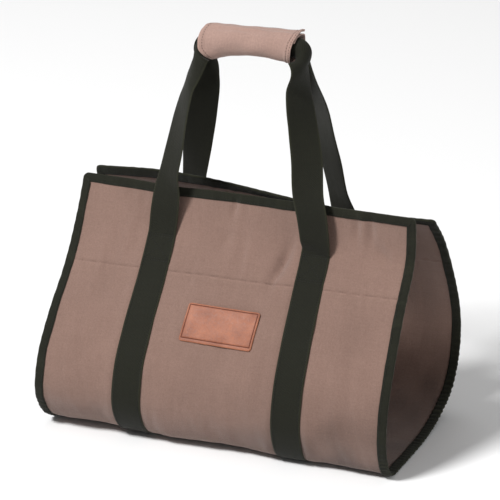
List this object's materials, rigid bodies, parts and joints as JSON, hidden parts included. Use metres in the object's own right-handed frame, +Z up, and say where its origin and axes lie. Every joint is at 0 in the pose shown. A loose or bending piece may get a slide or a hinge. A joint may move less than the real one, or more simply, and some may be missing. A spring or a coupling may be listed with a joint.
{
  "type": "canvas log carrier",
  "caption": "Open-ended canvas sling for carrying firewood, with bound edges, webbing handles gathered in a rolled canvas grip, and a leather patch.",
  "frame": {"origin": "middle of the overall box, at the floor that the carrier stands on", "axes": "+Z up, +X along the open-ended sling towards the right end as seen from the front, -Y towards the front panel with the patch"},
  "size_m": [0.4802, 0.296, 0.536],
  "materials": {
    "canvas": "matt washed cotton canvas, dusty rose-brown",
    "binding": "matt cotton tape, dark olive-black",
    "webbing": "ribbed cotton webbing, dark olive-black",
    "leather": "smooth vegetable-tanned leather, satin"
  },
  "bodies": {
    "root": {"canvas_panel": "canvas", "binding_front": "binding", "binding_back": "binding", "binding_left": "binding", "binding_right": "binding", "webbing_front": "webbing", "webbing_back": "webbing", "grip_wrap": "canvas", "leather_patch": "leather"}
  },
  "joints": []
}
